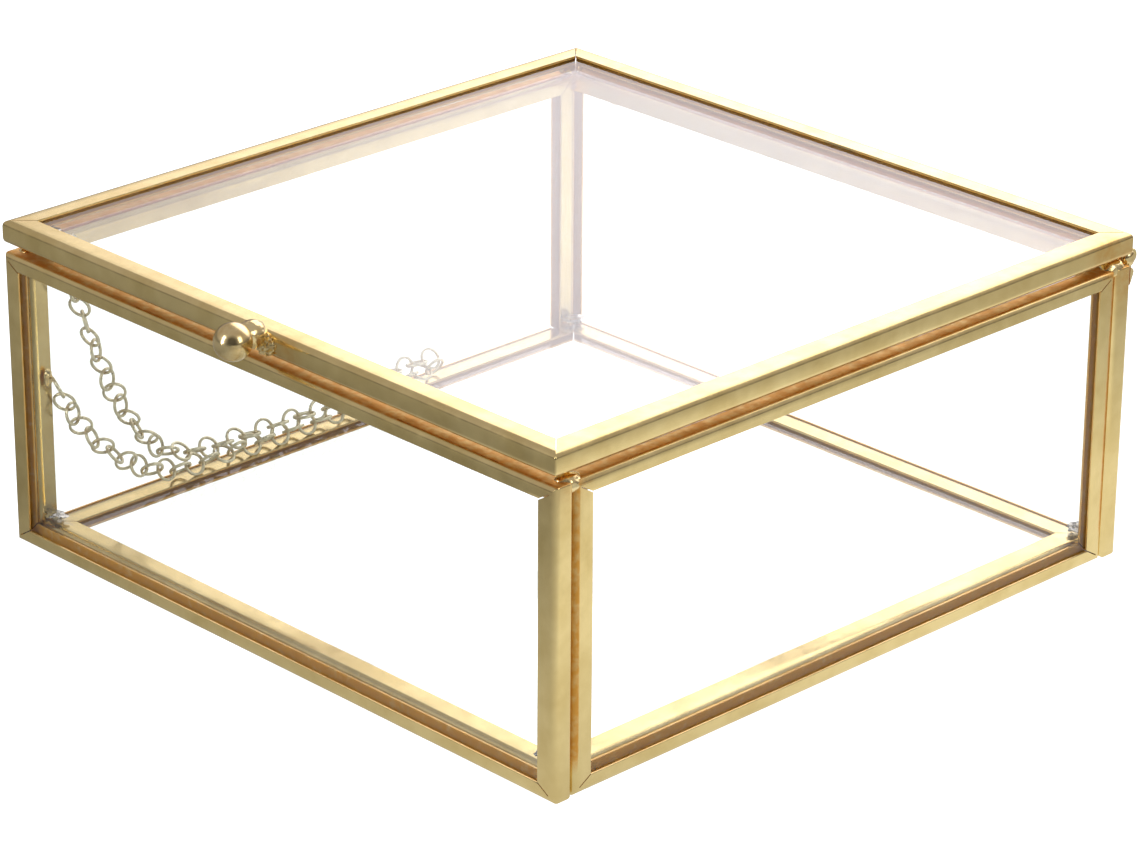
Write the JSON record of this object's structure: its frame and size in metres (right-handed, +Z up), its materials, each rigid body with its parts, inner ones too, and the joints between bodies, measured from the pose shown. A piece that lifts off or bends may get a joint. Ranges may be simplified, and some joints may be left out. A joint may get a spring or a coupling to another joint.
{
  "type": "jewelry box",
  "caption": "Square clear glass box edged in folded brass channel, with a hinged glass lid, a small ball knob and a thin stay chain inside the left wall.",
  "frame": {"origin": "middle of the overall plan, at the floor under the box", "axes": "+Z up, the knob faces -Y, the hinge runs along X at the +Y edge, the stay chain is by the -X wall"},
  "size_m": [0.12, 0.1304, 0.0552],
  "materials": {
    "brass": "satin brass sheet, softly burnished, warmer in the folds",
    "polished_brass": "mirror polished",
    "gold_solder": "crumpled solder plated with the brass",
    "bare_solder": "dull blue-grey bare solder",
    "chain_brass": "bright flat rings, lightly tarnished",
    "glass": "clear float glass, sharp cut edges"
  },
  "bodies": {
    "box": {"front_channel": "brass", "front_glass": "glass", "right_channel": "brass", "right_glass": "glass", "back_channel": "brass", "back_glass": "glass", "left_channel": "brass", "left_glass": "glass", "bottom_channel": "brass", "bottom_glass": "glass", "top_solder_front_left": "gold_solder", "base_solder_front_left": "bare_solder", "top_solder_front_right": "gold_solder", "base_solder_front_right": "bare_solder", "top_solder_back_left": "gold_solder", "base_solder_back_left": "bare_solder", "top_solder_back_right": "gold_solder", "base_solder_back_right": "bare_solder", "hinge_wire": "brass", "hinge_end_tube_left": "brass", "hinge_end_solder_left": "gold_solder", "hinge_end_tube_right": "brass", "hinge_end_solder_right": "gold_solder", "chain_anchor_wall": "gold_solder"},
    "lid": {"lid_channel": "brass", "lid_glass": "glass", "hinge_lid_tube": "brass", "hinge_lid_solder": "gold_solder", "knob_ball": "polished_brass", "knob_solder": "gold_solder", "chain_anchor_lid": "bare_solder"},
    "chain_wall_1": {"chain_wall_1": "chain_brass"},
    "chain_wall_2": {"chain_wall_2": "chain_brass"},
    "chain_wall_3": {"chain_wall_3": "chain_brass"},
    "chain_wall_4": {"chain_wall_4": "chain_brass"},
    "chain_wall_5": {"chain_wall_5": "chain_brass"},
    "chain_wall_6": {"chain_wall_6": "chain_brass"},
    "chain_lid_1": {"chain_lid_1": "chain_brass"},
    "chain_lid_2": {"chain_lid_2": "chain_brass"},
    "chain_lid_3": {"chain_lid_3": "chain_brass"},
    "chain_lid_4": {"chain_lid_4": "chain_brass"},
    "chain_lid_5": {"chain_lid_5": "chain_brass"},
    "chain_lid_6": {"chain_lid_6": "chain_brass"},
    "chain_lid_7": {"chain_lid_7": "chain_brass"}
  },
  "joints": [
    {"name": "lid_hinge", "type": "hinge", "parent": "box", "child": "lid", "pos_m": [0, 0.06392, 0.0483], "axis": [-1, 0, 0], "range_deg": [0, 98]},
    {"name": "chain_wall_1_link", "type": "hinge", "parent": "box", "child": "chain_wall_1", "pos_m": [-0.0546, -0.05153, 0.0266], "axis": [0.9997, -0.0173, 0.0182], "range_deg": [-0.5, 109.28]},
    {"name": "chain_wall_2_link", "type": "hinge", "parent": "chain_wall_1", "child": "chain_wall_2", "pos_m": [-0.05441, -0.0479, 0.01954], "axis": [0.9939, -0.0353, -0.1041], "range_deg": [-12.01, 0.5]},
    {"name": "chain_wall_3_link", "type": "hinge", "parent": "chain_wall_2", "child": "chain_wall_3", "pos_m": [-0.05408, -0.04296, 0.01335], "axis": [0.9995, -0.0303, 0.007], "range_deg": [-13.64, 0.5]},
    {"name": "chain_wall_4_link", "type": "hinge", "parent": "chain_wall_3", "child": "chain_wall_4", "pos_m": [-0.05372, -0.03673, 0.00844], "axis": [0.9993, -0.0311, 0.02], "range_deg": [-16.46, 0.5]},
    {"name": "chain_wall_5_link", "type": "hinge", "parent": "chain_wall_4", "child": "chain_wall_5", "pos_m": [-0.05337, -0.02942, 0.00545], "axis": [0.9906, -0.0532, 0.1259], "range_deg": [-19.69, 0.5]},
    {"name": "chain_wall_6_link", "type": "hinge", "parent": "chain_wall_5", "child": "chain_wall_6", "pos_m": [-0.05329, -0.01885, 0.00485], "axis": [0.9889, -0.0575, 0.1369], "range_deg": [-3.76, 0.5]},
    {"name": "chain_lid_1_link", "type": "hinge", "parent": "lid", "child": "chain_lid_1", "pos_m": [-0.0548, -0.05033, 0.0474], "axis": [0.9998, -0.0127, -0.0156], "range_deg": [-0.5, 35.97]},
    {"name": "chain_lid_2_link", "type": "hinge", "parent": "chain_lid_1", "child": "chain_lid_2", "pos_m": [-0.055, -0.04444, 0.02981], "axis": [0.9957, -0.0716, -0.0588], "range_deg": [-7.49, 0.5]},
    {"name": "chain_lid_3_link", "type": "hinge", "parent": "chain_lid_2", "child": "chain_lid_3", "pos_m": [-0.055, -0.03875, 0.01787], "axis": [1, -0.0003, 0.0005], "range_deg": [-15.84, 0.5]},
    {"name": "chain_lid_4_link", "type": "hinge", "parent": "chain_lid_3", "child": "chain_lid_4", "pos_m": [-0.055, -0.03188, 0.00991], "axis": [1, -0.0004, 0.0003], "range_deg": [-29.32, 0.5]},
    {"name": "chain_lid_5_link", "type": "hinge", "parent": "chain_lid_4", "child": "chain_lid_5", "pos_m": [-0.055, -0.02448, 0.00717], "axis": [1, -0.0005, 0.0001], "range_deg": [-17.33, 0.5]},
    {"name": "chain_lid_6_link", "type": "hinge", "parent": "chain_lid_5", "child": "chain_lid_6", "pos_m": [-0.055, -0.01656, 0.00668], "axis": [1, -0.0006, 0], "range_deg": [-3.39, 0.5]},
    {"name": "chain_lid_7_link", "type": "hinge", "parent": "chain_lid_6", "child": "chain_lid_7", "pos_m": [-0.055, -0.00861, 0.00659], "axis": [1, -0.0006, 0], "range_deg": [-1.15, 0.5]}
  ],
  "couplings": [
    {"joint": "chain_wall_1_link", "follows": "lid_hinge", "ratio": 1.11},
    {"joint": "chain_wall_2_link", "follows": "lid_hinge", "ratio": -0.11748},
    {"joint": "chain_wall_3_link", "follows": "lid_hinge", "ratio": -0.13408},
    {"joint": "chain_wall_4_link", "follows": "lid_hinge", "ratio": -0.16288},
    {"joint": "chain_wall_5_link", "follows": "lid_hinge", "ratio": -0.19577},
    {"joint": "chain_wall_6_link", "follows": "lid_hinge", "ratio": -0.03325},
    {"joint": "chain_lid_1_link", "follows": "lid_hinge", "ratio": 0.36197},
    {"joint": "chain_lid_2_link", "follows": "lid_hinge", "ratio": -0.07137},
    {"joint": "chain_lid_3_link", "follows": "lid_hinge", "ratio": -0.15654},
    {"joint": "chain_lid_4_link", "follows": "lid_hinge", "ratio": -0.2941},
    {"joint": "chain_lid_5_link", "follows": "lid_hinge", "ratio": -0.17175},
    {"joint": "chain_lid_6_link", "follows": "lid_hinge", "ratio": -0.02944},
    {"joint": "chain_lid_7_link", "follows": "lid_hinge", "ratio": -0.00664}
  ]
}
